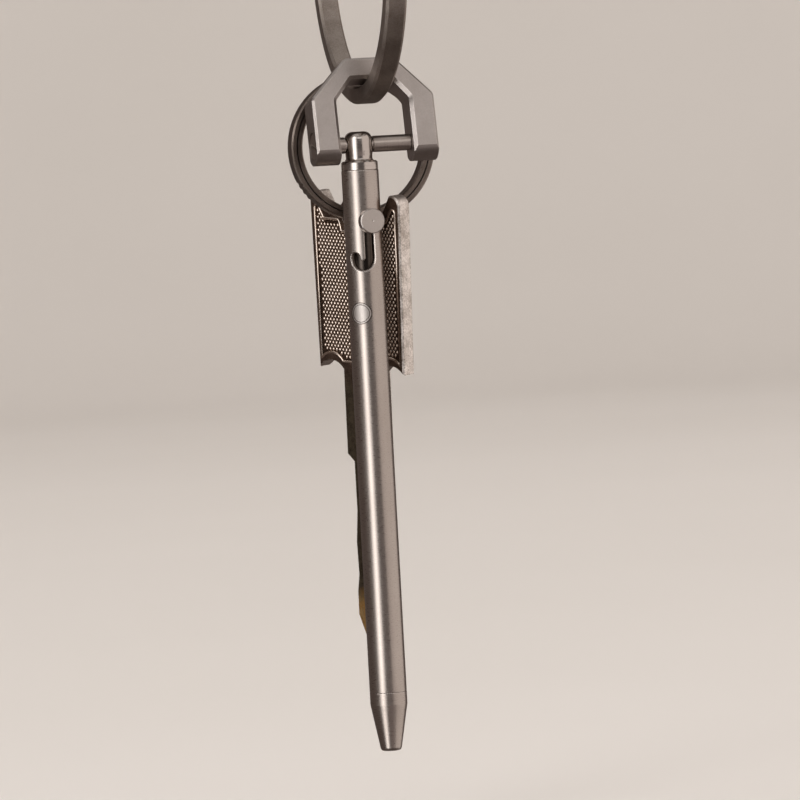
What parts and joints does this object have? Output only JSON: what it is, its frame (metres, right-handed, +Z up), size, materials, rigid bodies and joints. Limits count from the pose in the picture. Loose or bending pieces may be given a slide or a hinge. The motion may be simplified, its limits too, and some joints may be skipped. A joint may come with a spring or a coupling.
{
  "type": "keychain pen",
  "caption": "Pocket keychain: a bolt-action pen hung by its ball end in a faceted shackle on a large flat ring, with a flat split ring and a key.",
  "frame": {"origin": "the inside of the large carrier ring's top, where a hook or belt loop carries the chain", "axes": "+Z up along the hanging chain, +X along the shackle's pin and the carrier ring's axis, -Y the front that the pen's bolt faces"},
  "size_m": [0.0204, 0.0416, 0.1304],
  "materials": {
    "ring_titanium": "satin",
    "shackle_titanium": "matte",
    "pen_titanium": "satin",
    "polished_titanium": "polished",
    "split_ring_metal": "polished",
    "key_nickel": "satin",
    "spring_steel": "polished",
    "brass_tip": "satin",
    "carbide_ball": "polished",
    "refill_plastic": "satin",
    "ink": "gloss",
    "black_rubber": "matte"
  },
  "bodies": {
    "ring": {"carrier_ring": "ring_titanium"},
    "shackle": {"shackle_body": "shackle_titanium", "left_sleeve": "pen_titanium", "right_sleeve": "pen_titanium"},
    "pin": {"shackle_pin": "shackle_titanium"},
    "cap": {"cap": "polished_titanium", "cap_o_ring": "black_rubber"},
    "barrel": {"barrel": "pen_titanium"},
    "nose": {"nose_cone": "pen_titanium", "nose_o_ring": "black_rubber", "return_spring": "spring_steel"},
    "bolt": {"bolt_knob": "pen_titanium", "plunger": "polished_titanium", "refill_tube": "refill_plastic", "refill_plug": "refill_plastic", "refill_ink": "ink", "refill_tip": "brass_tip", "refill_ball": "carbide_ball"},
    "split_ring": {"split_ring": "split_ring_metal"},
    "key": {"key": "key_nickel"}
  },
  "joints": [
    {"name": "shackle_swing", "type": "hinge", "parent": "ring", "child": "shackle", "pos_m": [0, 0, -0.0184], "axis": [1, 0, 0], "range_deg": [-80, 0]},
    {"name": "pen_swing", "type": "hinge", "parent": "shackle", "child": "cap", "pos_m": [-0.0007, -0.0056, -0.04477], "axis": [1, 0, 0], "range_deg": [-105, 0]},
    {"name": "pin_unscrew", "type": "slide", "parent": "shackle", "child": "pin", "axis": [-1, 0, 0], "range_m": [0, 0.0178]},
    {"name": "barrel_unscrew", "type": "slide", "parent": "cap", "child": "barrel", "axis": [0, 0, -1], "range_m": [0, 0.0045]},
    {"name": "nose_unscrew", "type": "slide", "parent": "barrel", "child": "nose", "axis": [0, 0, -1], "range_m": [0, 0.0045]},
    {"name": "bolt_slide", "type": "slide", "parent": "barrel", "child": "bolt", "axis": [0, 0, 1], "range_m": [-0.00495, 0], "stiffness_N_per_m": 120, "springref_m": 0.003, "deforming": ["return_spring"]},
    {"name": "split_ring_swing", "type": "hinge", "parent": "ring", "child": "split_ring", "pos_m": [0, 0, -0.0184], "axis": [1, 0, 0], "range_deg": [0, 80]},
    {"name": "key_swing", "type": "hinge", "parent": "split_ring", "child": "key", "pos_m": [-0.00079, 0.00085, -0.04505], "axis": [0, 1, 0], "range_deg": [-35, 0]}
  ]
}
